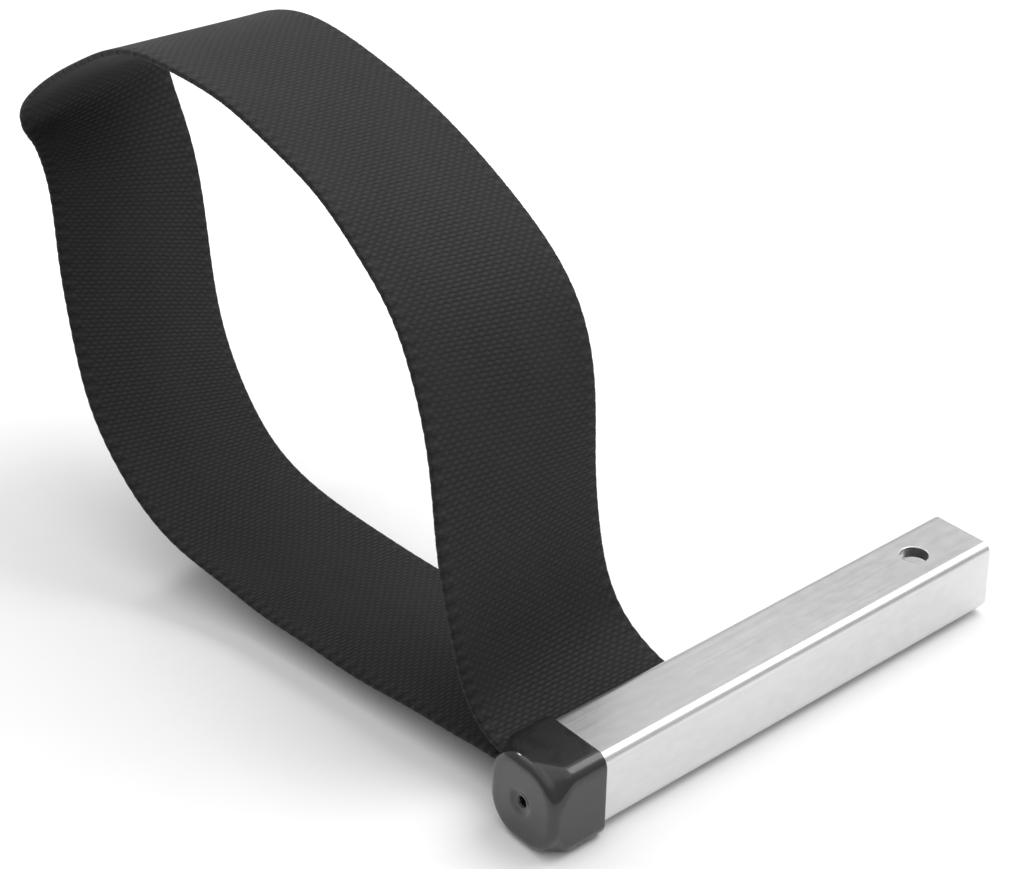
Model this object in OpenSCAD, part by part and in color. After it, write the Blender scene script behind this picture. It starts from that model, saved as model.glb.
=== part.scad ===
// Strap-type oil filter wrench: a square steel tube that a 1/2 inch square drive turns,
// with a loop of webbing that is held in a slot in the tube's back and grips the filter.
// The tube lies along X with its drive end at the origin. Y points to the strap, Z is up.

/* [Tube] */
// Outside width of the square tube
tube_w = 19.05; // [18.8:0.05:19.4]
// Width of its square bore, a clearance size for a 12.7 mm drive
bore_w = 12.9; // [12.8:0.05:13.2]
// Length of the tube
tube_l = 139.7; // [135:0.1:160]
// Radius of the tube's outside corners
tube_corner_r = 2.4; // [1.5:0.1:3]
// Radius of the bore's corners
bore_corner_r = 0.8; // [0.5:0.1:1]
// Diameter of the detent hole in the top wall
detent_d = 7; // [5:0.5:8]
// Distance of the detent hole from the drive end
detent_x = 17.5; // [12:0.5:22]
// Height of the strap slot in the back wall
slot_h = 5.4; // [5.3:0.1:5.8]
// Length of the strap slot, which is open at the capped end
slot_l = 56; // [55:0.5:60]

/* [Strap] */
// Width of the webbing
strap_w = 50.8; // [46:0.2:50.8]
// Thickness of the webbing
strap_t = 1.6; // [1.4:0.1:1.7]
// Distance from the strap's middle to the capped end of the tube
strap_inset = 28; // [27.6:0.2:29]
// How far behind the tube's axis the loop bends from the sewn plies
hinge_y = 13.2; // [13.1:0.1:13.3]

/* [Retaining pin] */
// Diameter of the pin
pin_d = 5.5; // [5:0.1:5.6]
// Length of the pin
pin_l = 50; // [40:1:51]
// Chamfer at the pin's ends
pin_chamfer = 0.5; // [0.3:0.1:1]

/* [End cap] */
// Wall of the cap's skirt
cap_wall = 1.5; // [1.2:0.1:1.6]
// Thickness of the cap's closed end
cap_end = 5; // [4:0.1:5.5]
// Length of tube that the skirt covers
cap_grip = 12; // [11:0.1:14]
// Radius of the skirt's outside corners
cap_corner_r = 3.6; // [3:0.1:4.5]
// Radius of the closed end's corners, which makes it nearly round
cap_end_corner_r = 9; // [7:0.1:11]
// Height of the cut-away that lets the strap out of the cap
cap_notch_h = 8; // [7.4:0.1:9]
// Diameter of the vent hole in the closed end
vent_d = 2.4; // [1.5:0.1:3]

/* [Stitching] */
// Diameter of the sewing thread
thread_d = 0.6; // [0.4:0.1:0.8]
// Distance between stitches
stitch_pitch = 5; // [4:0.5:6]
// Number of stitches in a row
stitch_count = 9; // [5:1:9]

/* [Hidden] */
$fn = 64;

steel = "silver";
black = "#1c1c1c";
webbing = "#303234";
thread = "#3c3e40";

near_x = -tube_l;
strap_x = near_x + strap_inset;
half_tube = tube_w / 2;
half_bore = bore_w / 2;
// Length by which a cut runs past the solid it opens
past = 1;

// Gap between the pin and the eye that holds it
pin_gap = 0.1;
eye_inner_r = pin_d / 2 + pin_gap;
// The webbing is one ply thick over the pin and two plies thick under it, where its ends lap,
// so the pin lies half a ply above the middle of the eye
pin_z = strap_t / 2;
eye_outer_r = eye_inner_r + 1.5 * strap_t;
// Three plies pass through the slot: the two legs of the loop, and one end sewn between them
neck_half = 1.5 * strap_t;
// Where the three plies come together behind the pin
ply_start_y = 6.4;
// Narrow tip of the eye's hollow, behind the pin
hollow_start_y = 5;
hollow_tip_y = 5.4;
hollow_tip_half = 0.1;
// Depth inside a circle at which its tangents start, so that the two outlines cross cleanly
tangent_dip = 0.01;

// Gap between the cap and the tube it grips
cap_gap = 0.1;
cap_rim_x = near_x + cap_grip;
cap_inner_half = half_tube + cap_gap;
cap_outer_half = cap_inner_half + cap_wall;
cap_inner_end_x = near_x - cap_gap;
cap_outer_end_x = cap_inner_end_x - cap_end;
// Length over which the square skirt turns into the nearly round end
cap_shoulder = 5.9;
// Roundness of the end's rim
cap_lip = 2.2;
// Clear space between the cut-away's end and the strap's edge
notch_gap = 1.2;

// Rows of stitches, as distances behind the tube's axis
stitch_rows = [10.8, 12.4];
// Gap between the thread and the hole that it passes through
thread_gap = 0.05;

// Route of the middle of the loop, from its upper root over the top to its lower root:
// offset along the tube from the strap's middle, Y, Z, and the webbing's twist in degrees.
ROUTE = [
    [0, 16, 1.6, 0], [0, 23, 3.2, 0], [0, 35, 14, 8], [-1, 38, 48, 5],
    [9, 50, 86, 2], [12, 97, 111, 12], [5, 156, 131, 3], [3, 193, 109, 2],
    [-1, 221, 97, -9], [5, 210, 78, -13], [-11, 184, 36, -15], [-17, 153, 7, -14],
    [-9, 121, -6, -9], [-6, 76, -6, -6], [0, 27, -2.4, 0], [0, 16, -1.6, 0]
];
// Rings swept for each stretch between two points of the route
ring_steps = 6;

// The route's points, with one more beyond each end so that the curve starts and ends on it
function route_point(i) =
    i < 0 ? 2 * ROUTE[0] - ROUTE[1]
    : i >= len(ROUTE) ? 2 * ROUTE[len(ROUTE) - 1] - ROUTE[len(ROUTE) - 2]
    : ROUTE[i];

// Weights of a uniform cubic B-spline, and of its slope, at a share f of one stretch
function place_weights(f) =
    [pow(1 - f, 3), 3 * pow(f, 3) - 6 * f * f + 4, 1 + 3 * f + 3 * f * f - 3 * pow(f, 3), pow(f, 3)] / 6;
function slope_weights(f) =
    [-pow(1 - f, 2), 3 * f * f - 4 * f, 1 + 2 * f - 3 * f * f, f * f] / 2;
function spline(i, w) =
    w[0] * route_point(i - 1) + w[1] * route_point(i) + w[2] * route_point(i + 1) + w[3] * route_point(i + 2);

function xyz(p) = [p[0], p[1], p[2]];
function unit(v) = v / norm(v);

// The four corners of the webbing's section at a share f of stretch i
function ring(i, f) =
    let(
        place = spline(i, place_weights(f)),
        middle = xyz(place) + [strap_x, 0, 0],
        along = unit(xyz(spline(i, slope_weights(f)))),
        level = unit([1, 0, 0] - along[0] * along),
        side = cross(along, level),
        across = cos(place[3]) * level + sin(place[3]) * side,
        out = cross(across, along),
        u = across * strap_w / 2,
        v = out * strap_t / 2
    )
    [middle - u - v, middle + u - v, middle + u + v, middle - u + v];

// Section of a square bar with rounded corners
module rounded_square(half, r) {
    square([2 * half, 2 * (half - r)], center = true);
    square([2 * (half - r), 2 * half], center = true);
    for (y = [-1, 1], z = [-1, 1]) translate([y * (half - r), z * (half - r)]) circle(r);
}

// A bar of that section along X, from x0 to x1
module square_bar(half, r, x0, x1) {
    translate([x0, 0, 0]) rotate([90, 0, 90]) linear_extrude(x1 - x0) rounded_square(half, r);
}

// A round bar along X, from x0 to x1
module round_bar(r, x0, x1) {
    translate([x0, 0, 0]) rotate([0, 90, 0]) cylinder(r = r, h = x1 - x0);
}

module drive_tube() {
    color(steel) difference() {
        square_bar(half_tube, tube_corner_r, near_x, 0);
        square_bar(half_bore, bore_corner_r, near_x - past, past);
        translate([-detent_x, 0, 0]) cylinder(d = detent_d, h = half_tube + past);
        translate([near_x - past, 0, -slot_h / 2])
            cube([slot_l - slot_h / 2 + past, half_tube + past, slot_h]);
        translate([near_x + slot_l - slot_h / 2, 0, 0]) rotate([-90, 0, 0])
            cylinder(d = slot_h, h = half_tube + past);
    }
}

// Outside of the cap: a square skirt that turns into a nearly round end
module cap_outside() {
    end_r = cap_end_corner_r;
    hull() {
        square_bar(cap_outer_half, cap_corner_r, cap_outer_end_x + cap_shoulder, cap_rim_x);
        square_bar(cap_outer_half, end_r, cap_outer_end_x + cap_lip, cap_outer_end_x + cap_shoulder);
        square_bar(cap_outer_half - cap_lip, end_r - cap_lip, cap_outer_end_x, cap_outer_end_x + cap_lip);
    }
}

module end_cap() {
    notch_x = strap_x - strap_w / 2 - notch_gap;
    color(black) difference() {
        cap_outside();
        square_bar(cap_inner_half, tube_corner_r, cap_inner_end_x, cap_rim_x + past);
        round_bar(vent_d / 2, cap_outer_end_x - past, near_x);
        translate([notch_x, 0, -cap_notch_h / 2])
            cube([cap_rim_x - notch_x + past, cap_outer_half + past, cap_notch_h]);
    }
}

module retaining_pin() {
    r = pin_d / 2;
    color(steel) translate([strap_x - pin_l / 2, 0, pin_z]) rotate([0, 90, 0]) {
        cylinder(r1 = r - pin_chamfer, r2 = r, h = pin_chamfer);
        translate([0, 0, pin_chamfer]) cylinder(r = r, h = pin_l - 2 * pin_chamfer);
        translate([0, 0, pin_l - pin_chamfer]) cylinder(r1 = r, r2 = r - pin_chamfer, h = pin_chamfer);
    }
}

// A circle drawn out by its tangents to a straight neck, from y = start_y to y = end_y
module eye_section(r, start_y, half, end_y) {
    angle = acos(r / norm([start_y, half])) + atan2(half, start_y);
    touch = (r - tangent_dip) * [cos(angle), sin(angle)];
    circle(r);
    polygon([
        [0, 0], touch, [start_y, half], [end_y, half],
        [end_y, -half], [start_y, -half], [touch[0], -touch[1]]
    ]);
}

// Places a Y-Z section along the strap's whole width
module across_strap(width = strap_w) {
    translate([strap_x - width / 2, 0, 0]) rotate([90, 0, 90]) linear_extrude(width) children();
}

module strap_eye() {
    color(webbing) difference() {
        union() {
            across_strap() eye_section(eye_outer_r, ply_start_y, neck_half, hinge_y);
            translate([0, hinge_y, 0]) round_bar(neck_half, strap_x - strap_w / 2, strap_x + strap_w / 2);
        }
        across_strap(strap_w + 2 * past) translate([0, pin_z])
            eye_section(eye_inner_r, hollow_start_y, hollow_tip_half, hollow_tip_y);
        for (y = stitch_rows, i = [0 : stitch_count]) translate([stitch_x(i), y, -neck_half - past])
            cylinder(d = thread_d + 2 * thread_gap, h = 2 * (neck_half + past));
    }
}

function stitch_x(i) = strap_x + (i - stitch_count / 2) * stitch_pitch;

// One row of lockstitch: a thread on each face, and the crossings that join them
module stitch_row(y) {
    r = thread_d / 2;
    for (i = [0 : stitch_count]) translate([stitch_x(i), y, -neck_half - r])
        cylinder(r = r, h = 2 * (neck_half + r));
    for (z = [-1, 1]) translate([0, y, z * (neck_half + r)])
        round_bar(r, stitch_x(0), stitch_x(stitch_count));
}

module eye_stitching() {
    color(thread) for (y = stitch_rows) stitch_row(y);
}

module strap_loop() {
    stretches = len(ROUTE) - 1;
    rings = concat(
        [for (i = [0 : stretches - 1], k = [0 : ring_steps - 1]) ring(i, k / ring_steps)],
        [ring(stretches - 1, 1)]
    );
    last = 4 * (len(rings) - 1);
    sides = [
        for (j = [0 : len(rings) - 2], k = [0 : 3])
            let(a = 4 * j + k, b = 4 * j + (k + 1) % 4)
            each [[a, b, b + 4], [a, b + 4, a + 4]]
    ];
    ends = [[0, 2, 1], [0, 3, 2], [last, last + 1, last + 2], [last, last + 2, last + 3]];
    color(webbing) polyhedron(points = [for (r = rings) each r], faces = concat(sides, ends));
}

drive_tube();
end_cap();
retaining_pin();
strap_eye();
eye_stitching();
strap_loop();
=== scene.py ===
"""Visual model of the strap-type oil filter wrench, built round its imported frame.

The tube lies along X with its drive socket at the origin, the strap leaves it towards +Y,
and Z is up. Every length is in metres.
"""

import math

import bmesh
import bpy
import numpy as np
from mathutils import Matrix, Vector


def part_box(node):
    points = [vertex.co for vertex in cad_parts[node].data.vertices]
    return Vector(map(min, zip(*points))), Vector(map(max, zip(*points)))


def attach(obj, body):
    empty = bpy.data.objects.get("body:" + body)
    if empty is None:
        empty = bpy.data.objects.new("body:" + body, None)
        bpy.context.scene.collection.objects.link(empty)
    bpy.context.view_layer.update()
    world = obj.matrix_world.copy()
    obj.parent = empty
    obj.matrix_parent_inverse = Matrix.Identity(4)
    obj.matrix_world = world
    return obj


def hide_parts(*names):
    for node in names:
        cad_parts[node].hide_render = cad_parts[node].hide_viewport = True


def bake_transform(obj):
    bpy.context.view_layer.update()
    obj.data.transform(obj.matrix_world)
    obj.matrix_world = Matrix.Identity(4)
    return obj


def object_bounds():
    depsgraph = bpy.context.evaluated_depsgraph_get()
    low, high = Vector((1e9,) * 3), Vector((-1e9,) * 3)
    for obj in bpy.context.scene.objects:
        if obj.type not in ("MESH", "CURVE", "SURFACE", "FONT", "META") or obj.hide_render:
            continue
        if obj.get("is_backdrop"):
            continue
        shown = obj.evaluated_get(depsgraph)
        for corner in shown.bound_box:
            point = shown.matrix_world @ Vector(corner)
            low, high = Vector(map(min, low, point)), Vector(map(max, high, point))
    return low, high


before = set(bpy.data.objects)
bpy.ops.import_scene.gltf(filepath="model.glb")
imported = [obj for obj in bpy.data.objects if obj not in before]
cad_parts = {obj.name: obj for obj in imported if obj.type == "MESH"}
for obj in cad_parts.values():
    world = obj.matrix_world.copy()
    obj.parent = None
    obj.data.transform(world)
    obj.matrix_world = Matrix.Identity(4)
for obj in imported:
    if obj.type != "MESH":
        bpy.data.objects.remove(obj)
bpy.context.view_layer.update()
MM = 0.001

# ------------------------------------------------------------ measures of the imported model

tube_lo, tube_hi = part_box("drive_tube")
cap_lo, cap_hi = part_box("end_cap")
pin_lo, pin_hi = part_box("retaining_pin")
eye_lo, eye_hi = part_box("strap_eye")
sew_lo, sew_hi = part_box("eye_stitching")

HALF_TUBE = tube_hi.z
NEAR_X = tube_lo.x
STRAP_X = (eye_lo.x + eye_hi.x) / 2
STRAP_W = eye_hi.x - eye_lo.x
PIN_R = (pin_hi.z - pin_lo.z) / 2
PIN_Z = (pin_hi.z + pin_lo.z) / 2
HALF_CAP = cap_hi.z

# ------------------------------------------------------------ other dimensions, as designed

PLY = 1.6 * MM
TUBE_CORNER = 2.4 * MM
HALF_BORE = 6.45 * MM
BORE_CORNER = 0.8 * MM
HOLE_R = 3.5 * MM
HOLE_X = -17.5 * MM
SLOT_HALF = 2.7 * MM
SLOT_END_X = NEAR_X + 56 * MM
CAP_CORNER = 3.6 * MM
CAP_INNER_HALF = 9.625 * MM
CAP_END = 5 * MM
CAP_END_CORNER = 9 * MM
CAP_SHOULDER_X = cap_lo.x + 5.9 * MM
CAP_LIP = 2.2 * MM
CAP_LIP_X = cap_lo.x + CAP_LIP
NOTCH_HALF = 4 * MM
NOTCH_CORNER = 1.2 * MM
NOTCH_X = STRAP_X - STRAP_W / 2 - 1.2 * MM
VENT_R = 1.2 * MM
NECK_Y = 6.4 * MM
SEW_ROWS = (10.8 * MM, 12.4 * MM)
SEW_PITCH = 5 * MM

# Middle of the loop from its upper root over the top to its lower root:
# offset along the tube, Y, Z in millimetres, and the webbing's twist in degrees.
ROUTE = [
    (0, 16, 1.6, 0), (0, 23, 3.2, 0), (0, 35, 14, 8), (-1, 38, 48, 5),
    (9, 50, 86, 2), (12, 97, 111, 12), (5, 156, 131, 3), (3, 193, 109, 2),
    (-1, 221, 97, -9), (5, 210, 78, -13), (-11, 184, 36, -15), (-17, 153, 7, -14),
    (-9, 121, -6, -9), (-6, 76, -6, -6), (0, 27, -2.4, 0), (0, 16, -1.6, 0),
]

# ------------------------------------------------------------ finer measures of the visual pieces

CAP_EASE = 1.1 * MM  # half the length over which the corners start to grow at the shoulder
CAP_GROWTH = (CAP_END_CORNER - CAP_CORNER) / (CAP_SHOULDER_X - CAP_LIP_X)
CAP_LEAN_END = 1.6 * MM  # how far the top of the end is drawn forward
CAP_LEAN_RIM = 1.2 * MM  # how far the foot of the rim is held back
DISH_R = 3.9 * MM
DISH_FLOOR_R = 1.5 * MM
DISH_DEEP = 0.6 * MM
ROUNDISH = 0.97  # corner share of a section that is round, but still has its straight points

RIB = 1.15 * MM  # from one weft rib to the next
RIB_DEEP = 0.08 * MM
YARN = 1.25 * MM  # from one warp yarn to the next
EDGE_YARN = (STRAP_W - PLY) / 2 / YARN  # where the selvedge turns, in yarns from the middle
BEAD_RIBS = 3  # ribs between two loops of the selvedge
BEAD_DEEP = 0.18 * MM
RINGS_A_RIB = 4
FACE_STEPS = 18  # quads across each face
SMOOTH_PASSES = 12

THREAD_R = 0.3 * MM
THREAD_SIDES = 12
STITCH_STEPS = 22


# ------------------------------------------------------------ shader helpers


class Material:
    """A node material: a Principled shader and short ways to add nodes in front of it."""

    def __init__(self, name, **constants):
        self.mat = bpy.data.materials.new(name)
        self.mat.use_nodes = True
        self.tree = self.mat.node_tree
        self.shader = self.tree.nodes["Principled BSDF"]
        for socket, value in constants.items():
            self.shader.inputs[socket.replace("_", " ")].default_value = value

    def node(self, kind, inputs=(), **settings):
        made = self.tree.nodes.new("ShaderNode" + kind)
        for key, value in settings.items():
            setattr(made, key, value)
        for key, value in dict(inputs).items():
            self.feed(made.inputs[key], value)
        return made

    def feed(self, socket, value):
        if isinstance(value, bpy.types.NodeSocket):
            self.tree.links.new(value, socket)
        else:
            socket.default_value = value

    def place(self):
        return self.node("TexCoord").outputs["Object"]

    def math(self, operation, a, b=0.0):
        return self.node("Math", {0: a, 1: b}, operation=operation).outputs[0]

    def times(self, a, b):
        return self.math("MULTIPLY", a, b)

    def plus(self, a, b):
        return self.math("ADD", a, b)

    def noise(self, vector, scale, detail=3.0, roughness=0.5):
        """Noise whose scale is one number, or one for each axis."""
        if isinstance(scale, tuple):
            vector = self.node("VectorMath", {0: vector, 1: scale}, operation="MULTIPLY").outputs[0]
            scale = 1.0
        made = self.node(
            "TexNoise",
            {"Vector": vector, "Scale": scale, "Detail": detail, "Roughness": roughness},
        )
        return made.outputs["Fac"]

    def spread(self, value, low, high, to_low=0.0, to_high=1.0):
        """Maps low..high onto to_low..to_high, clamped and eased."""
        made = self.node(
            "MapRange",
            {0: value, 1: low, 2: high, 3: to_low, 4: to_high},
            interpolation_type="SMOOTHSTEP",
        )
        return made.outputs[0]

    def mix(self, share, a, b):
        made = self.node("Mix", data_type="RGBA")
        self.feed(made.inputs[0], share)
        self.feed(made.inputs[6], a)
        self.feed(made.inputs[7], b)
        return made.outputs[2]

    def bump(self, height, distance, normal=None, strength=1.0):
        made = self.node("Bump", {"Height": height, "Distance": distance, "Strength": strength})
        if normal is not None:
            self.feed(made.inputs["Normal"], normal)
        return made.outputs["Normal"]

    def out(self, **inputs):
        for socket, value in inputs.items():
            self.feed(self.shader.inputs[socket.replace("_", " ")], value)
        return self.mat


def grey(value, warmth=0.0):
    return (value * (1 + warmth), value, value * (1 - warmth), 1)


# ------------------------------------------------------------ materials


def plated_steel():
    """Bright zinc plate on drawn tube: fine lengthwise lines, faint clouds and rubbed marks."""
    m = Material("plated_steel", Metallic=0.92)
    place = m.place()
    lines = m.noise(place, (18, 1500, 1500), 4.0, 0.6)
    mottle = m.noise(place, (220, 420, 420), 4.0, 0.55)
    clouds = m.noise(place, (28, 60, 60), 2.0)
    rubbed = m.spread(m.noise(place, (60, 900, 900), 5.0, 0.7), 0.64, 0.74)
    worn = m.spread(m.node("NewGeometry").outputs["Pointiness"], 0.5, 0.56)
    tone = m.mix(m.spread(mottle, 0.3, 0.7), grey(0.63, 0.002), grey(0.68, 0.002))
    tone = m.mix(m.spread(clouds, 0.35, 0.7, 0.0, 0.4), tone, grey(0.7))
    tone = m.mix(m.times(rubbed, 0.2), tone, grey(0.5))
    tone = m.mix(m.times(worn, 0.4), tone, grey(0.86))
    rough = m.plus(m.spread(lines, 0.2, 0.8, 0.27, 0.36), m.times(mottle, 0.06))
    grain = m.bump(lines, 0.003 * MM, strength=0.5)
    return m.out(Base_Color=tone, Roughness=rough, Normal=m.bump(mottle, 0.01 * MM, grain, 0.3))


def ground_steel():
    """Ground dowel with a thin film of oil and fine rings from the grinding wheel."""
    m = Material("ground_steel", Metallic=1.0)
    place = m.place()
    rings = m.noise(place, (4000, 60, 60), 3.0, 0.6)
    film = m.noise(place, 220.0, 3.0)
    tone = m.mix(m.spread(film, 0.35, 0.65), grey(0.36, 0.02), grey(0.5, 0.01))
    rough = m.spread(rings, 0.2, 0.8, 0.22, 0.36)
    return m.out(Base_Color=tone, Roughness=rough, Normal=m.bump(rings, 0.003 * MM, strength=0.5))


def dipped_vinyl():
    """Glossy black vinyl: slow ripples from dipping, a fine pebble, dust and dull scuffs."""
    m = Material("dipped_vinyl", IOR=1.48, Coat_Weight=0.45, Coat_Roughness=0.08)
    place = m.place()
    ripples = m.noise(place, 190.0, 2.0)
    pebble = m.noise(place, 2600.0, 3.0, 0.6)
    dust = m.spread(m.noise(place, 900.0, 5.0, 0.7), 0.52, 0.75)
    handled = m.spread(m.noise(place, 120.0, 3.0), 0.4, 0.65)
    tone = m.mix(m.times(dust, 0.35), grey(0.014, -0.01), grey(0.034, -0.01))
    rough = m.plus(m.spread(handled, 0.0, 1.0, 0.2, 0.31), m.times(dust, 0.08))
    skin = m.bump(pebble, 0.006 * MM, strength=0.4)
    return m.out(Base_Color=tone, Roughness=rough, Normal=m.bump(ripples, 0.05 * MM, skin, 0.35))


def nylon_webbing():
    """Plain-woven black nylon: ribs across, which the warp passes over and under by turns.

    The map counts warp yarns across and weft ribs along, so the weave follows every bend.
    """
    m = Material("nylon_webbing", Sheen_Weight=0.06, Sheen_Roughness=0.5, Specular_IOR_Level=0.25)
    place = m.node("UVMap", uv_map="weave").outputs["UV"]
    split = m.node("SeparateXYZ", {0: place})
    across, along = split.outputs[0], split.outputs[1]

    # Ribs that sway a little, the warp's overs and unders, and the grooves between warp yarns
    turn = m.times(m.plus(along, m.math("FLOOR", across)), math.pi)
    over = m.spread(m.math("COSINE", turn), -0.9, 0.9)
    drift = m.noise(place, (0.3, 0.4, 1.0), 3.0)
    sway = m.times(m.math("SUBTRACT", drift, 0.5), 0.5)
    rib = m.math("ABSOLUTE", m.math("COSINE", m.times(m.plus(along, sway), math.pi)))
    warp = m.math("ABSOLUTE", m.math("SINE", m.times(across, math.pi)))
    weave = m.plus(m.times(rib, 0.52), m.times(over, 0.38))
    weave = m.plus(weave, m.times(warp, 0.1))

    # The selvedge's loops of weft, with painted light on the loops and painted shade in the gaps
    # between them
    selvedge = m.spread(m.math("ABSOLUTE", across), EDGE_YARN - 2.2, EDGE_YARN - 1.5)
    bead = m.spread(m.math("COSINE", m.times(along, 2 * math.pi / BEAD_RIBS)), -0.5, 0.7)
    loops = m.times(selvedge, bead)
    gap_shade = m.times(selvedge, m.math("SUBTRACT", 1.0, bead))

    fibre = m.noise(place, (5.0, 1.3, 1.0), 4.0, 0.65)
    patch = m.noise(place, (0.09, 0.05, 1.0), 3.0)
    pick = m.noise(place, (0.3, 1.0, 1.0), 3.0)
    # Colour from the weave's height: painted shade in the grooves between ribs and warp yarns, and
    # painted light on the raised overs
    tone = m.mix(m.spread(weave, 0.1, 0.95), grey(0.0042, -0.02), grey(0.0185, -0.02))
    tone = m.mix(m.spread(fibre, 0.45, 0.8, 0.0, 0.25), tone, grey(0.029, -0.02))
    tone = m.mix(m.spread(patch, 0.35, 0.7, 0.0, 0.2), tone, grey(0.024, -0.01))
    tone = m.mix(m.spread(pick, 0.35, 0.65, 0.0, 0.35), tone, grey(0.011, -0.02))
    # Painted light on the selvedge's loops, and painted shade in the gaps between them
    tone = m.mix(m.times(loops, 0.25), tone, grey(0.036, -0.01))
    tone = m.mix(m.times(gap_shade, 0.45), tone, grey(0.003))

    rough = m.spread(weave, 0.0, 1.0, 0.85, 0.65)
    height = m.plus(weave, m.times(loops, 0.25))
    fine = m.bump(fibre, 0.04 * MM, strength=0.5)
    return m.out(Base_Color=tone, Roughness=rough, Normal=m.bump(height, 0.11 * MM, fine, 0.7))


def sewing_thread():
    """Black twisted thread, a little lighter and shinier than the webbing."""
    m = Material("sewing_thread", Sheen_Weight=0.2, Sheen_Roughness=0.3)
    fibre = m.noise(m.place(), (2500, 9000, 9000), 3.0, 0.6)
    tone = m.mix(m.spread(fibre, 0.3, 0.7), grey(0.03, -0.02), grey(0.075, -0.01))
    rough = m.spread(fibre, 0.2, 0.8, 0.45, 0.6)
    return m.out(Base_Color=tone, Roughness=rough, Normal=m.bump(fibre, 0.02 * MM))


# ------------------------------------------------------------ mesh helpers


def to_mesh(name, bm):
    """Turns a bmesh into a mesh, and frees it."""
    mesh = bpy.data.meshes.new(name)
    bm.to_mesh(mesh)
    bm.free()
    return mesh


def place_piece(name, mesh, material, body, stands_for):
    """Makes a mesh a smooth-shaded piece that stands for CAD nodes and rides on their body."""
    mesh.name = name
    mesh.polygons.foreach_set("use_smooth", [True] * len(mesh.polygons))
    mesh.materials.append(material)
    piece = bpy.data.objects.new(name, mesh)
    bpy.context.scene.collection.objects.link(piece)
    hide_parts(*stands_for)
    if body:
        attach(piece, body)
    return piece


def loft(bm, rings):
    """Skins closed rings of equal length with quads, and returns the rings as vertices."""
    made = [[bm.verts.new(point) for point in ring] for ring in rings]
    for ring, after in zip(made, made[1:]):
        join(bm, ring, after)
    return made


def join(bm, ring, after):
    for k in range(len(ring)):
        n = (k + 1) % len(ring)
        bm.faces.new((ring[k], ring[n], after[n], after[k]))


def fan(bm, ring, centre, flip=False):
    middle = bm.verts.new(centre)
    for k, vert in enumerate(ring):
        corners = (vert, ring[(k + 1) % len(ring)], middle)
        bm.faces.new(corners[::-1] if flip else corners)


def soften(piece, width, angle):
    """Rounds the hard edges, then evens the shading so that flat faces stay flat."""
    bevel = piece.modifiers.new("edges", "BEVEL")
    bevel.width = width
    bevel.segments = 3
    bevel.limit_method = "ANGLE"
    bevel.angle_limit = math.radians(angle)
    shade = piece.modifiers.new("shading", "WEIGHTED_NORMAL")
    shade.keep_sharp = False


def circle(radius, steps, start=0.0, sweep=360.0):
    """Points round a circle, or along an arc with both its ends."""
    return [
        (radius * math.cos(a), radius * math.sin(a))
        for a in (math.radians(start + sweep * k / steps) for k in range(steps + (sweep < 360)))
    ]


def cutter(name, rings):
    """A closed solid that is only cut with, and is thrown away afterwards."""
    bm = bmesh.new()
    made = loft(bm, rings)
    for ring in (made[0], made[-1]):
        bm.faces.new(ring)
    bmesh.ops.recalc_face_normals(bm, faces=bm.faces)
    tool = bpy.data.objects.new(name, to_mesh(name, bm))
    bpy.context.scene.collection.objects.link(tool)
    return tool


def cut(bm, tools):
    """Subtracts the tools from a bmesh, and returns the mesh that is left."""
    blank = bpy.data.objects.new("blank", to_mesh("blank", bm))
    bpy.context.scene.collection.objects.link(blank)
    for tool in tools:
        step = blank.modifiers.new("cut", "BOOLEAN")
        step.operation = "DIFFERENCE"
        step.solver = "EXACT"
        step.object = tool
    graph = bpy.context.evaluated_depsgraph_get()
    left = bpy.data.meshes.new_from_object(blank.evaluated_get(graph))
    for used in (blank, *tools):
        bpy.data.objects.remove(used, do_unlink=True)
    return left


# ------------------------------------------------------------ square tube


def rounded_square(half, corner, steps=8):
    """Points (y, z) round a square with rounded corners, from the lower right corner."""
    inner = half - corner
    points = []
    for quarter, (sy, sz) in enumerate(((1, -1), (1, 1), (-1, 1), (-1, -1))):
        for k in range(steps + 1):
            a = math.radians(90 * (quarter - 1) + 90 * k / steps)
            points.append((sy * inner + corner * math.cos(a), sz * inner + corner * math.sin(a)))
    return points


def tube_blank():
    """The drawn tube: outside and bore, each swept along X and joined at both ends."""
    bm = bmesh.new()
    stations = (NEAR_X, HOLE_X - 2 * HOLE_R, HOLE_X + 2 * HOLE_R, 0)
    outside = rounded_square(HALF_TUBE, TUBE_CORNER)
    inside = rounded_square(HALF_BORE, BORE_CORNER)
    outer = loft(bm, [[(x, y, z) for y, z in outside] for x in stations])
    inner = loft(bm, [[(x, y, z) for y, z in reversed(inside)] for x in stations])
    count = len(outside)
    for end in (0, -1):
        for k in range(count):
            n = (k + 1) % count
            far_k, far_n = inner[end][count - 1 - k], inner[end][count - 1 - n]
            pair = (outer[end][k], far_k, far_n, outer[end][n])
            bm.faces.new(pair if end == 0 else pair[::-1])
    bmesh.ops.recalc_face_normals(bm, faces=bm.faces)
    return bm


def build_tube(material):
    """Square tube with its detent hole, and the strap's slot, open at the capped end."""
    over = 2 * MM
    hole = cutter("hole_cut", [
        [(HOLE_X + u, v, z) for u, v in circle(HOLE_R, 64)] for z in (0, HALF_TUBE + over)
    ])
    end = SLOT_END_X - SLOT_HALF
    outline = [(NEAR_X - over, SLOT_HALF), (NEAR_X - over, -SLOT_HALF)]
    outline += [(end + u, v) for u, v in circle(SLOT_HALF, 32, -90, 180)]
    slot = cutter("slot_cut", [[(x, y, z) for x, z in outline] for y in (0, HALF_TUBE + over)])
    mesh = cut(tube_blank(), [hole, slot])
    piece = place_piece("square_tube", mesh, material, "tube", ["drive_tube"])
    soften(piece, 0.22 * MM, 35)


# ------------------------------------------------------------ end cap


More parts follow.
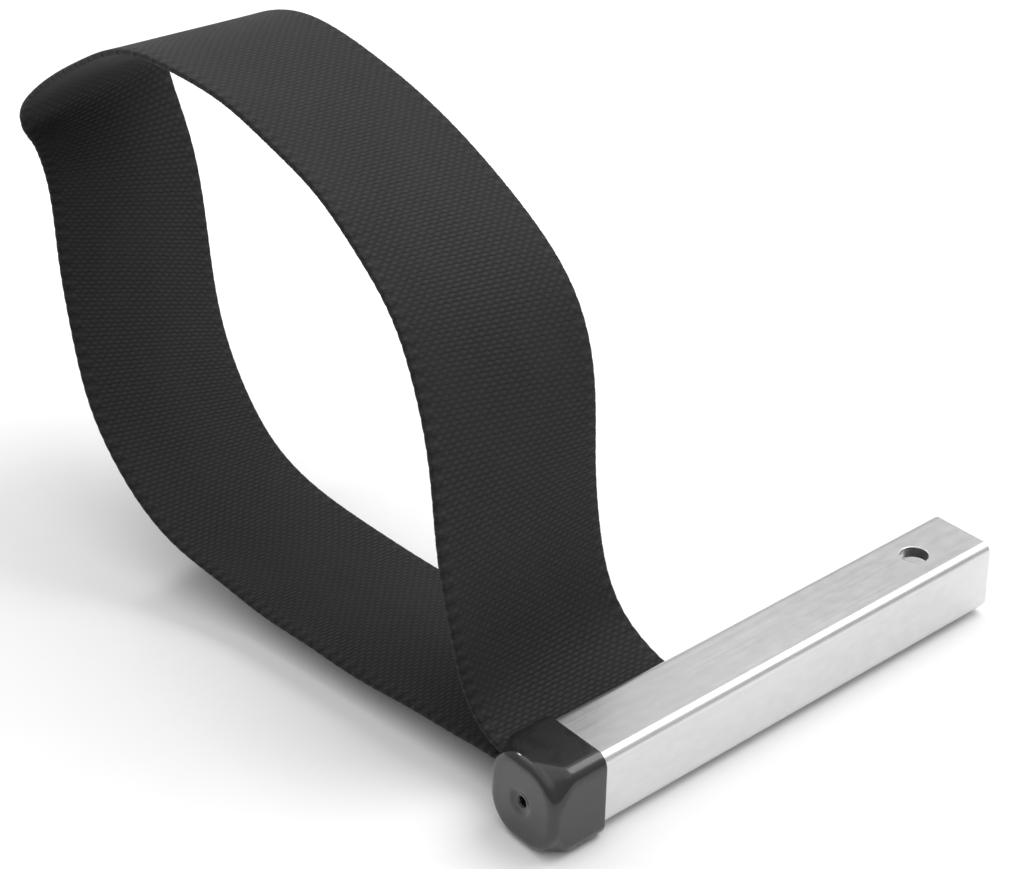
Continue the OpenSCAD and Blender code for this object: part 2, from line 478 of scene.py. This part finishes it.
def cap_section(half, corner, arc_steps=12, side_steps=8):
    """A rounded square whose points keep their place as its corners grow, for even lofting."""
    inner = half - corner
    points = []
    for quarter in range(4):
        turn = math.radians(90 * quarter)
        side = [(half, -inner + 2 * inner * k / side_steps) for k in range(side_steps)]
        bend = [math.radians(90 * k / arc_steps) for k in range(arc_steps)]
        side += [(inner + corner * math.cos(a), inner + corner * math.sin(a)) for a in bend]
        for y, z in side:
            points.append((
                y * math.cos(turn) - z * math.sin(turn), y * math.sin(turn) + z * math.cos(turn)
            ))
    return points


def cap_corner(x):
    """The outside corners' radius at x, which starts to grow smoothly at the shoulder."""
    u = CAP_SHOULDER_X - x
    if u < -CAP_EASE:
        return CAP_CORNER
    return CAP_CORNER + CAP_GROWTH * (u if u > CAP_EASE else (u + CAP_EASE) ** 2 / (4 * CAP_EASE))


def lean(x, z, end_lean):
    """Tips the cap as it sits on the tube: its top is drawn forward and its foot held back."""
    share = min(max((x - CAP_LIP_X) / (cap_hi.x - CAP_LIP_X), 0), 1)
    forward = end_lean * (HALF_CAP + z) * (1 - share)
    back = CAP_LEAN_RIM * (HALF_CAP - z) * share
    return x + (forward - back) / (2 * HALF_CAP)


def cap_ring(x, half, corner, end_lean=CAP_LEAN_END):
    return [(lean(x, z, end_lean), y, z) for y, z in cap_section(half, corner)]


def cap_outside():
    """Rings from the soft rim along the skirt and the shoulder, and over the end's lip."""
    rim = cap_hi.x
    places = [(rim, 0.45 * MM), (rim - 0.06 * MM, 0.22 * MM), (rim - 0.2 * MM, 0.07 * MM)]
    places.append((rim - 0.45 * MM, 0.0))
    places += [(x, 0.0) for x in np.linspace(rim - 1.5 * MM, CAP_SHOULDER_X + CAP_EASE, 8)]
    places += [(x, 0.0) for x in np.linspace(CAP_SHOULDER_X + CAP_EASE, CAP_LIP_X, 16)[1:]]
    rings = [
        cap_ring(x, HALF_CAP - inset, max(cap_corner(x) - inset, 0.4 * MM)) for x, inset in places
    ]
    for k in range(1, 9):
        a = math.radians(90 * k / 8)
        inset = CAP_LIP * (1 - math.cos(a))
        x = CAP_LIP_X - CAP_LIP * math.sin(a)
        rings.append(cap_ring(x, HALF_CAP - inset, CAP_END_CORNER - inset))
    return rings


def cap_end():
    """Rings across the end's face, which gets rounder inwards, down its dish and into the vent."""
    rings = []
    for half in (8.2, 7.2, 6.2, 5.2):
        corner = half * MM * (0.83 + 0.04 * (8.2 - half))
        rings.append(cap_ring(cap_lo.x, half * MM, corner))
    for k in range(13):
        f = k / 12
        r = DISH_R + (DISH_FLOOR_R - DISH_R) * f
        x = cap_lo.x + DISH_DEEP * (0.5 - 0.5 * math.cos(math.pi * f))
        rings.append(cap_ring(x, r, r * ROUNDISH))
    for deeper, wider in ((0.06, 0.32), (0.18, 0.12), (0.4, 0.0)):
        r = VENT_R + wider * MM
        rings.append(cap_ring(cap_lo.x + DISH_DEEP + deeper * MM, r, r * ROUNDISH))
    return rings


def cap_inside():
    """Rings from the vent's inner mouth across the hollow's floor and out along its walls."""
    floor_x, rim = cap_lo.x + CAP_END, cap_hi.x
    sections = []
    for short, wider in ((0.2, 0.0), (0.0, 0.2)):
        r = VENT_R + wider * MM
        sections.append((floor_x - short * MM, cap_section(r, r * ROUNDISH)))
    for half in (3.5 * MM, 6.5 * MM, CAP_INNER_HALF - 0.4 * MM):
        sections.append((floor_x, cap_section(half, half * 0.5)))
    rings = [[(x, y, z) for y, z in section] for x, section in sections]
    for x in np.linspace(floor_x + 0.3 * MM, rim - 0.35 * MM, 10):
        rings.append(cap_ring(x, CAP_INNER_HALF, TUBE_CORNER, 0))
    flare = 0.2 * MM
    rings.append(cap_ring(rim - 0.06 * MM, CAP_INNER_HALF + flare, TUBE_CORNER + flare, 0))
    return rings


def build_cap(material):
    """Dipped cap with a nearly round end, a dimpled vent, and a notch for the strap."""
    bm = bmesh.new()
    made = loft(bm, cap_outside() + cap_end() + cap_inside())
    join(bm, made[-1], made[0])
    bmesh.ops.recalc_face_normals(bm, faces=bm.faces)
    open_x = cap_hi.x + 3 * MM
    bend_x, bend_z = NOTCH_X + NOTCH_CORNER, NOTCH_HALF - NOTCH_CORNER
    outline = [(open_x, NOTCH_HALF)]
    outline += [(bend_x + u, bend_z + v) for u, v in circle(NOTCH_CORNER, 8, 90, 90)]
    outline += [(bend_x + u, -bend_z + v) for u, v in circle(NOTCH_CORNER, 8, 180, 90)]
    outline += [(open_x, -NOTCH_HALF)]
    depths = (0.5 * HALF_CAP, HALF_CAP + 3 * MM)
    notch = cutter("notch_cut", [[(x, y, z) for x, z in outline] for y in depths])
    mesh = cut(bm, [notch])
    piece = place_piece("vinyl_cap", mesh, material, "cap", ["end_cap"])
    soften(piece, 0.25 * MM, 50)


# ------------------------------------------------------------ retaining pin


def build_pin(material):
    """Dowel with chamfered ends and shallow lathe centres."""
    near, far = pin_lo.x, pin_hi.x
    end = [
        (near + 0.25 * MM, 0.35 * MM), (near + 0.05 * MM, 0.6 * MM), (near, 0.75 * MM),
        (near, PIN_R - 0.75 * MM), (near, PIN_R - 0.55 * MM),
        (near + 0.04 * MM, PIN_R - 0.48 * MM), (near + 0.46 * MM, PIN_R - 0.04 * MM),
        (near + 0.55 * MM, PIN_R),
    ]
    middle = (near + far) / 2
    shank = [(x, PIN_R) for x in np.linspace(near + 2 * MM, far - 2 * MM, 20)]
    profile = end + shank + [(2 * middle - x, r) for x, r in reversed(end)]
    bm = bmesh.new()
    made = loft(bm, [[(x, u * r, PIN_Z + v * r) for u, v in circle(1, 56)] for x, r in profile])
    fan(bm, made[0], (near + 0.4 * MM, 0, PIN_Z))
    fan(bm, made[-1], (far - 0.4 * MM, 0, PIN_Z), True)
    bmesh.ops.recalc_face_normals(bm, faces=bm.faces)
    mesh = to_mesh("dowel_pin", bm)
    place_piece("dowel_pin", mesh, material, "pin", ["retaining_pin"])


# ------------------------------------------------------------ webbing


def spline(points, steps):
    """Uniform cubic B-spline from its first point to its last, with its slopes."""
    p = np.array(points, float)
    p = np.vstack([2 * p[0] - p[1], p, 2 * p[-1] - p[-2]])
    places, slopes = [], []
    for i in range(1, len(p) - 2):
        last = i == len(p) - 3
        for f in np.linspace(0, 1, steps + 1)[: None if last else -1]:
            w = np.array([
                (1 - f) ** 3, 3 * f**3 - 6 * f * f + 4, 1 + 3 * f + 3 * f * f - 3 * f**3, f**3
            ])
            d = np.array([-((1 - f) ** 2), 3 * f * f - 4 * f, 1 + 2 * f - 3 * f * f, f * f])
            places.append(w / 6 @ p[i - 1 : i + 3])
            slopes.append(d / 2 @ p[i - 1 : i + 3])
    return np.array(places), np.array(slopes)


def tangent(radius, y, z, side):
    """Angle at which a line from (y, z) touches a circle of that radius round the pin."""
    away = math.hypot(y, z - PIN_Z)
    return math.atan2(z - PIN_Z, y) + side * math.acos(radius / away)


def arc(radius, a, b, steps):
    """Points (y, z) on a circle round the pin, from angle a to angle b."""
    return [
        (radius * math.cos(t), PIN_Z + radius * math.sin(t)) for t in np.linspace(a, b, steps)
    ]


def unit(vectors):
    return vectors / np.linalg.norm(vectors, axis=1)[:, None]


def webbing_path():
    """The webbing's middle line from one cut end to the other, with the direction across it.

    It starts between the two legs behind the pin, goes under and over the pin as its inner
    wrap, leaves as the upper leg, comes back as the lower leg, and ends as a lap under the pin.
    """
    inner = PIN_R + 0.1 * MM + PLY / 2
    lap = inner + PLY
    low = tangent(inner, NECK_Y, 0, -1)
    high = tangent(inner, NECK_Y, PLY, 1)
    under = tangent(lap, NECK_Y, -PLY, -1)
    neck = (NECK_Y, 9 * MM, 11 * MM, 13.5 * MM)
    before = [(13.4 * MM, 0), (11 * MM, 0), (9 * MM, 0), (NECK_Y, 0)]
    before += arc(inner, low, high - 2 * math.pi, 40)
    before += [(y, PLY) for y in neck]
    after = [(y, -PLY) for y in reversed(neck)]
    after += arc(lap, under, math.radians(-150), 16)
    places, slopes = spline(ROUTE, 60)
    middle = places[:, :3] * MM + np.array([STRAP_X, 0, 0])
    along = unit(slopes[:, :3])
    level = unit(np.array([1.0, 0, 0]) - along[:, :1] * along)
    twist = np.radians(places[:, 3])[:, None]
    across = np.cos(twist) * level + np.sin(twist) * np.cross(along, level)

    def flat(pairs):
        return np.array([(STRAP_X, y, z) for y, z in pairs])

    def straight(pairs):
        return np.tile([1.0, 0, 0], (len(pairs), 1))

    line = np.vstack([flat(before), middle, flat(after)])
    return line, np.vstack([straight(before), across, straight(after)])


def resample(line, sideways, step):
    """Evenly spaced stations along the line, smoothed a little where the parts join.

    Returns the distance of each station along the line, its place, and the directions along
    and across the webbing there.
    """
    reach = np.concatenate([[0], np.cumsum(np.linalg.norm(np.diff(line, axis=0), axis=1))])
    count = int(round(reach[-1] / step))
    at = np.linspace(0, reach[-1], count + 1)
    place = np.stack([np.interp(at, reach, line[:, k]) for k in range(3)], axis=1)
    side = np.stack([np.interp(at, reach, sideways[:, k]) for k in range(3)], axis=1)
    for _ in range(SMOOTH_PASSES):
        place[1:-1] = place[:-2] / 4 + place[1:-1] / 2 + place[2:] / 4
        side[1:-1] = side[:-2] / 4 + side[1:-1] / 2 + side[2:] / 4
    along = unit(np.gradient(place, axis=0))
    side = unit(side - (side * along).sum(1)[:, None] * along)
    return at, place, along, side


def webbing_section():
    """Points of the section: share across (-1 to 1), face (1 outer, -1 inner), edge's lean."""
    edge = [math.radians(a) for a in (60, 20, -20, -60)]
    section = [(-1 + 2 * k / FACE_STEPS, 1.0, 0.0) for k in range(FACE_STEPS + 1)]
    section += [(1.0, math.sin(a), math.cos(a)) for a in edge]
    section += [(1 - 2 * k / FACE_STEPS, -1.0, 0.0) for k in range(FACE_STEPS + 1)]
    section += [(-1.0, -math.sin(a), -math.cos(a)) for a in edge]
    return np.array(section)


def webbing_surface():
    """Every point of the webbing by station and place on the section, its map, and its length."""
    at, place, along, side = resample(*webbing_path(), RIB / RINGS_A_RIB)
    out = np.cross(side, along)
    share, face, turned = webbing_section().T

    # Ribs press in from the full thickness, and the turned selvedges are beaded
    phase = at / RIB
    rib = np.abs(np.cos(math.pi * phase)) ** 0.8
    half_thick = PLY / 2 - RIB_DEEP * (1 - rib)[:, None]
    bead = np.abs(np.cos(math.pi * phase / BEAD_RIBS)) ** 0.7
    edge = turned[None, :] * (PLY / 2 - BEAD_DEEP * (1 - bead))[:, None]
    lateral = (STRAP_W / 2 - PLY / 2) * share[None, :] + edge

    # Slow unevenness of soft webbing, away from the sewn neck: cupping, and wandering edges
    clear = np.clip((place[:, 1] - 16 * MM) / (30 * MM), 0, 1)
    clear = clear * clear * (3 - 2 * clear)

    def wave(size, length, start):
        return (size * np.sin(2 * math.pi * at / length + start) * clear)[:, None]

    lift = (
        wave(0.35 * MM, 0.143, 0.8) * (1 / 3 - share**2)[None, :]
        + wave(0.3 * MM, 0.061, 0.4) * (np.clip(share, 0, 1) ** 3)[None, :]
        + wave(0.22 * MM, 0.037, 2.1) * (np.clip(-share, 0, 1) ** 3)[None, :]
    )
    height = face[None, :] * half_thick + lift
    bow = 0.5 * MM * share**2
    points = (
        place[:, None, :]
        + side[:, None, :] * lateral[:, :, None]
        + out[:, None, :] * height[:, :, None]
        + along[:, None, :] * bow[None, :, None]
    )

    # Both cut ends are sealed with heat, which thins them
    for end, inward in ((0, 1), (len(at) - 1, -1)):
        for k, keep in enumerate((0.45, 0.75, 0.9)):
            r = end + inward * k
            points[r] -= out[r] * (face * (1 - keep))[:, None] * PLY / 2

    ribs_along = (at[:, None] + bow[None, :]) / RIB
    return points, np.stack([lateral / YARN, ribs_along], axis=2), at[-1]


def webbing_faces(rows, columns):
    """Quads along the webbing, and both of its cut ends, as numbers of the points."""
    faces = []
    for r in range(rows - 1):
        a = r * columns
        for k in range(columns):
            n = (k + 1) % columns
            faces.append((a + k, a + n, a + columns + n, a + columns + k))
    across = FACE_STEPS + 1
    edge = (columns - 2 * across) // 2
    for base, flip in ((0, True), ((rows - 1) * columns, False)):
        top = [base + k for k in range(across)]
        bottom = [base + across + edge + k for k in range(across)][::-1]
        ends = [(top[k], top[k + 1], bottom[k + 1], bottom[k]) for k in range(FACE_STEPS)]
        ends.append((top[-1], *(base + across + k for k in range(edge)), bottom[-1]))
        ends.append((bottom[0], *(base + columns - edge + k for k in range(edge)), top[0]))
        faces += [corners[::-1] if flip else corners for corners in ends]
    return faces


def build_webbing(material):
    """The webbing in one piece, and its flat length."""
    points, counts, length = webbing_surface()
    rows, columns = points.shape[:2]
    mesh = bpy.data.meshes.new("webbing_strap")
    mesh.from_pydata(points.reshape(-1, 3).tolist(), [], webbing_faces(rows, columns))
    mesh.validate()
    loops = np.empty(len(mesh.loops), dtype=np.int32)
    mesh.loops.foreach_get("vertex_index", loops)
    weave = mesh.uv_layers.new(name="weave")
    weave.data.foreach_set("uv", counts.reshape(-1, 2)[loops].astype(np.float32).ravel())
    mesh.update()
    nodes = ["strap_eye", "strap_loop"]
    piece = place_piece("webbing_strap", mesh, material, None, nodes)
    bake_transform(piece)
    return piece, length


# ------------------------------------------------------------ stitching


def stitch_row(y, face, start, count):
    """Middle line of one side of a row: it dips into the webbing between its stitches."""
    face_z = 1.5 * PLY
    line = []
    for k in range(count * STITCH_STEPS + 1):
        f = k / STITCH_STEPS
        sink = (face_z - 0.2 * MM) * abs(math.cos(math.pi * f)) ** 7
        sway = 0.07 * MM * math.sin(2 * math.pi * f + y * 4000)
        line.append(Vector((start + f * SEW_PITCH, y + sway, face * (face_z + 0.25 * MM - sink))))
    return line


def thread_rings(line):
    """Rings of a three-ply twisted thread along the line."""
    rings = []
    for k, point in enumerate(line):
        ahead = (line[min(k + 1, len(line) - 1)] - line[max(k - 1, 0)]).normalized()
        side = ahead.cross(Vector((0, 1, 0))).normalized()
        up = side.cross(ahead)
        ring = []
        for j in range(THREAD_SIDES):
            a = 2 * math.pi * j / THREAD_SIDES
            r = THREAD_R * (0.86 + 0.14 * math.cos(3 * (a - 0.55 * k)))
            ring.append(point + side * (r * math.cos(a)) + up * (r * math.sin(a)))
        rings.append(ring)
    return rings


def build_stitching(material):
    """Two rows of lockstitch, seen on both faces of the strap's neck."""
    count = int(round((sew_hi.x - sew_lo.x - 2 * THREAD_R) / SEW_PITCH))
    start = (sew_hi.x + sew_lo.x) / 2 - count * SEW_PITCH / 2
    bm = bmesh.new()
    for y in SEW_ROWS:
        for face in (1, -1):
            line = stitch_row(y, face, start, count)
            made = loft(bm, thread_rings(line))
            fan(bm, made[0], line[0])
            fan(bm, made[-1], line[-1], True)
    bmesh.ops.recalc_face_normals(bm, faces=bm.faces)
    mesh = to_mesh("lockstitch", bm)
    return place_piece("lockstitch", mesh, material, "strap", ["eye_stitching"])


# ------------------------------------------------------------ the wrench

build_tube(plated_steel())
build_cap(dipped_vinyl())
build_pin(ground_steel())
stitching = build_stitching(sewing_thread())
strap, strap_length = build_webbing(nylon_webbing())

# ------------------------------------------------------------ floor, light and camera

FLOOR_HALF = 6.0
FLOOR_GAP = 0.05 * MM

# Strength of the sky by the upward part of its direction, from the horizon to straight above
SKY = ((0.0, 0.4), (0.35, 0.48), (0.6, 0.55), (0.8, 1.15), (1.0, 1.12))

LIGHTS_AIM = (-0.09, 0.08, 0.03)

CAMERA_PLACE = (-0.3955, -0.3157, 0.3370)
CAMERA_AZIMUTH, CAMERA_ELEVATION, CAMERA_ROLL = -38.61, 30.98, -1.56
CAMERA_LENS = 82.98


def lay_floor(scene):
    """Pale paper just under the lowest point of the wrench at rest."""
    bm = bmesh.new()
    bmesh.ops.create_grid(bm, x_segments=8, y_segments=8, size=FLOOR_HALF)
    floor = bpy.data.objects.new("floor", to_mesh("floor", bm))
    floor.location = (0, 0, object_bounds()[0].z - FLOOR_GAP)
    scene.collection.objects.link(floor)
    paper = Material("floor_paper", Roughness=0.9, Specular_IOR_Level=0.1)
    fibres = paper.noise(paper.place(), 60.0, 3.0)
    floor.data.materials.append(paper.out(Base_Color=paper.mix(fibres, grey(0.9), grey(0.92))))
    floor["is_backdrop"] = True


def light_sky(scene):
    """White studio surroundings that are brighter overhead."""
    scene.world = bpy.data.worlds.new("studio")
    scene.world.use_nodes = True
    tree = scene.world.node_tree
    backdrop = tree.nodes["Background"]
    direction = tree.nodes.new("ShaderNodeTexCoord")
    parts = tree.nodes.new("ShaderNodeSeparateXYZ")
    glow = tree.nodes.new("ShaderNodeValToRGB")
    stops = glow.color_ramp.elements
    for height, _ in SKY[1:-1]:
        stops.new(height)
    for stop, (_, strength) in zip(stops, SKY):
        stop.color = (strength, strength, strength, 1)
    tree.links.new(direction.outputs["Generated"], parts.inputs[0])
    tree.links.new(parts.outputs[2], glow.inputs["Fac"])
    tree.links.new(glow.outputs["Color"], backdrop.inputs["Strength"])
    backdrop.inputs["Color"].default_value = (1, 1, 1, 1)


def softbox(scene, name, place, size, watts):
    lamp = bpy.data.lights.new(name, "AREA")
    lamp.shape = "RECTANGLE"
    lamp.size, lamp.size_y = size
    lamp.energy = watts
    holder = bpy.data.objects.new(name, lamp)
    holder.location = place
    aim = Vector(LIGHTS_AIM) - Vector(place)
    holder.rotation_euler = aim.to_track_quat("-Z", "Y").to_euler()
    scene.collection.objects.link(holder)


def place_camera(scene):
    """Camera at the photograph's viewpoint, which was worked out from the tube's edges."""
    camera_data = bpy.data.cameras.new("camera")
    camera_data.sensor_width = 36
    camera_data.lens = CAMERA_LENS
    camera_data.clip_start = 0.01
    camera = bpy.data.objects.new("camera", camera_data)
    azimuth, elevation, roll = (
        math.radians(a) for a in (CAMERA_AZIMUTH, CAMERA_ELEVATION, CAMERA_ROLL)
    )
    right = Vector((math.cos(azimuth), math.sin(azimuth), 0))
    back = Vector((
        math.sin(azimuth) * math.cos(elevation),
        -math.cos(azimuth) * math.cos(elevation),
        math.sin(elevation),
    ))
    up = back.cross(right)
    turned_right = right * math.cos(roll) + up * math.sin(roll)
    turned_up = up * math.cos(roll) - right * math.sin(roll)
    pose = camera.matrix_world.copy()
    for column, axis in enumerate((turned_right, turned_up, back, Vector(CAMERA_PLACE))):
        for row in range(3):
            pose[row][column] = axis[row]
    camera.matrix_world = pose
    scene.collection.objects.link(camera)
    scene.camera = camera


scene = bpy.context.scene
scene.view_settings.view_transform = "Standard"
lay_floor(scene)
light_sky(scene)
softbox(scene, "key", (0.50, -0.12, 0.93), (0.8, 0.8), 5.9)
softbox(scene, "rear_strip", (-0.02, 0.82, 0.83), (0.3, 0.08), 2.6)
place_camera(scene)
